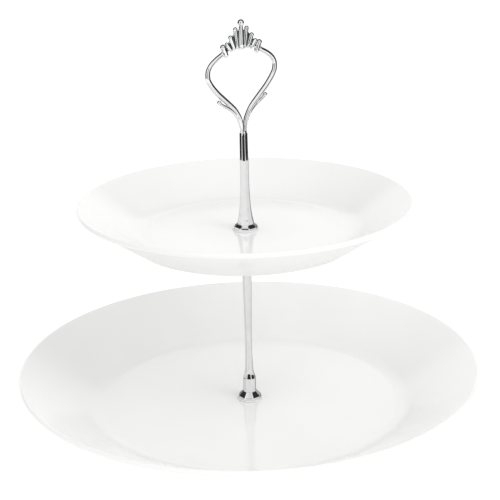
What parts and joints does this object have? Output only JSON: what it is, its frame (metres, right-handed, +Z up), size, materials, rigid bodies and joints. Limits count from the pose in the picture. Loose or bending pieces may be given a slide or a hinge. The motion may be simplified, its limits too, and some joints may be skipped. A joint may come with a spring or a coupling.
{
  "type": "tiered cake stand",
  "caption": "Tiered serving stand: round flared porcelain plates clamped on a slim screwed chrome column topped by a looped handle with a fan crest.",
  "frame": {"origin": "on the table under the column's axis, at the bottom of the lower plate's foot ring", "axes": "+Z up along the column, +X along the plane of the handle's loop, +Y through the loop"},
  "size_m": [0.27, 0.27, 0.2355],
  "materials": {
    "porcelain": "gloss",
    "chrome_casting": "polished",
    "zinc_steel": "satin",
    "clear_washer": "gloss"
  },
  "bodies": {
    "base": {"lower_plate": "porcelain", "lower_plate_top_washer": "clear_washer", "lower_plate_bottom_washer": "clear_washer"},
    "column": {"middle_post": "chrome_casting", "upper_plate_bottom_washer": "clear_washer"},
    "upper_tier": {"upper_plate": "porcelain"},
    "clamp_washer": {"upper_plate_top_washer": "clear_washer"},
    "upper_column": {"upper_post": "chrome_casting", "centre_stud": "zinc_steel"},
    "stud": {"handle_stud": "zinc_steel"},
    "handle": {"crown_handle": "chrome_casting"},
    "screw_washer": {"base_metal_washer": "zinc_steel"},
    "screw": {"base_screw": "zinc_steel"}
  },
  "joints": [
    {"name": "column_turn", "type": "hinge", "parent": "base", "child": "column", "pos_m": [0, 0, 0.0108], "axis": [0, 0, 1], "continuous": true},
    {"name": "upper_plate_turn", "type": "hinge", "parent": "column", "child": "upper_tier", "pos_m": [0, 0, 0.1122], "axis": [0, 0, 1], "continuous": true},
    {"name": "upper_post_rise", "type": "slide", "parent": "column", "child": "clamp_washer", "axis": [0, 0, 1], "range_m": [0, 0.008]},
    {"name": "upper_post_unscrew", "type": "hinge", "parent": "clamp_washer", "child": "upper_column", "pos_m": [0, 0, 0.117], "axis": [0, 0, 1], "range_deg": [0, 4120]},
    {"name": "handle_rise", "type": "slide", "parent": "upper_column", "child": "stud", "axis": [0, 0, 1], "range_m": [0, 0.006]},
    {"name": "handle_unscrew", "type": "hinge", "parent": "stud", "child": "handle", "pos_m": [0, 0, 0.1726], "axis": [0, 0, 1], "range_deg": [0, 4805]},
    {"name": "base_screw_drop", "type": "slide", "parent": "column", "child": "screw_washer", "axis": [0, 0, -1], "range_m": [0, 0.0091]},
    {"name": "base_screw_unscrew", "type": "hinge", "parent": "screw_washer", "child": "screw", "pos_m": [0, 0, 0.004], "axis": [0, 0, -1], "range_deg": [0, 4685]}
  ],
  "couplings": [
    {"joint": "upper_post_unscrew", "follows": "upper_post_rise", "rad_per_m": 8976},
    {"joint": "handle_unscrew", "follows": "handle_rise", "rad_per_m": 13963},
    {"joint": "base_screw_unscrew", "follows": "base_screw_drop", "rad_per_m": 8976}
  ]
}
